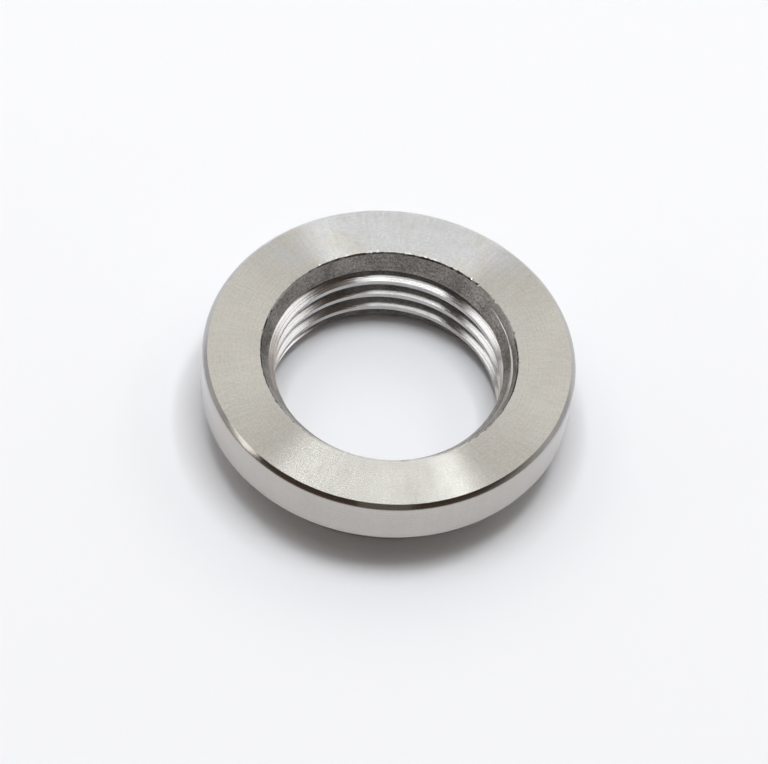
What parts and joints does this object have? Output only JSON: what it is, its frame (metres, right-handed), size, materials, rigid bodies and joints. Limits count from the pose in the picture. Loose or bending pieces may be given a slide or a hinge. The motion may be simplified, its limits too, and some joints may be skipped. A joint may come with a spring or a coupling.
{
  "type": "oxygen sensor nut",
  "caption": "Round stepped weld-in nut: a satin turned flange over a locating spigot, tapped right through to hold an exhaust oxygen sensor.",
  "frame": {"origin": "centre of the spigot's foot, on the axis of the threaded hole, where the nut stands", "axes": "+Z along the threaded hole's axis, from the spigot towards the flange's top face"},
  "size_m": [0.027, 0.027, 0.007],
  "materials": {
    "turned_steel": "satin, faced and turned with fine concentric tool marks"
  },
  "bodies": {
    "root": {"sensor_nut": "turned_steel"}
  },
  "joints": []
}
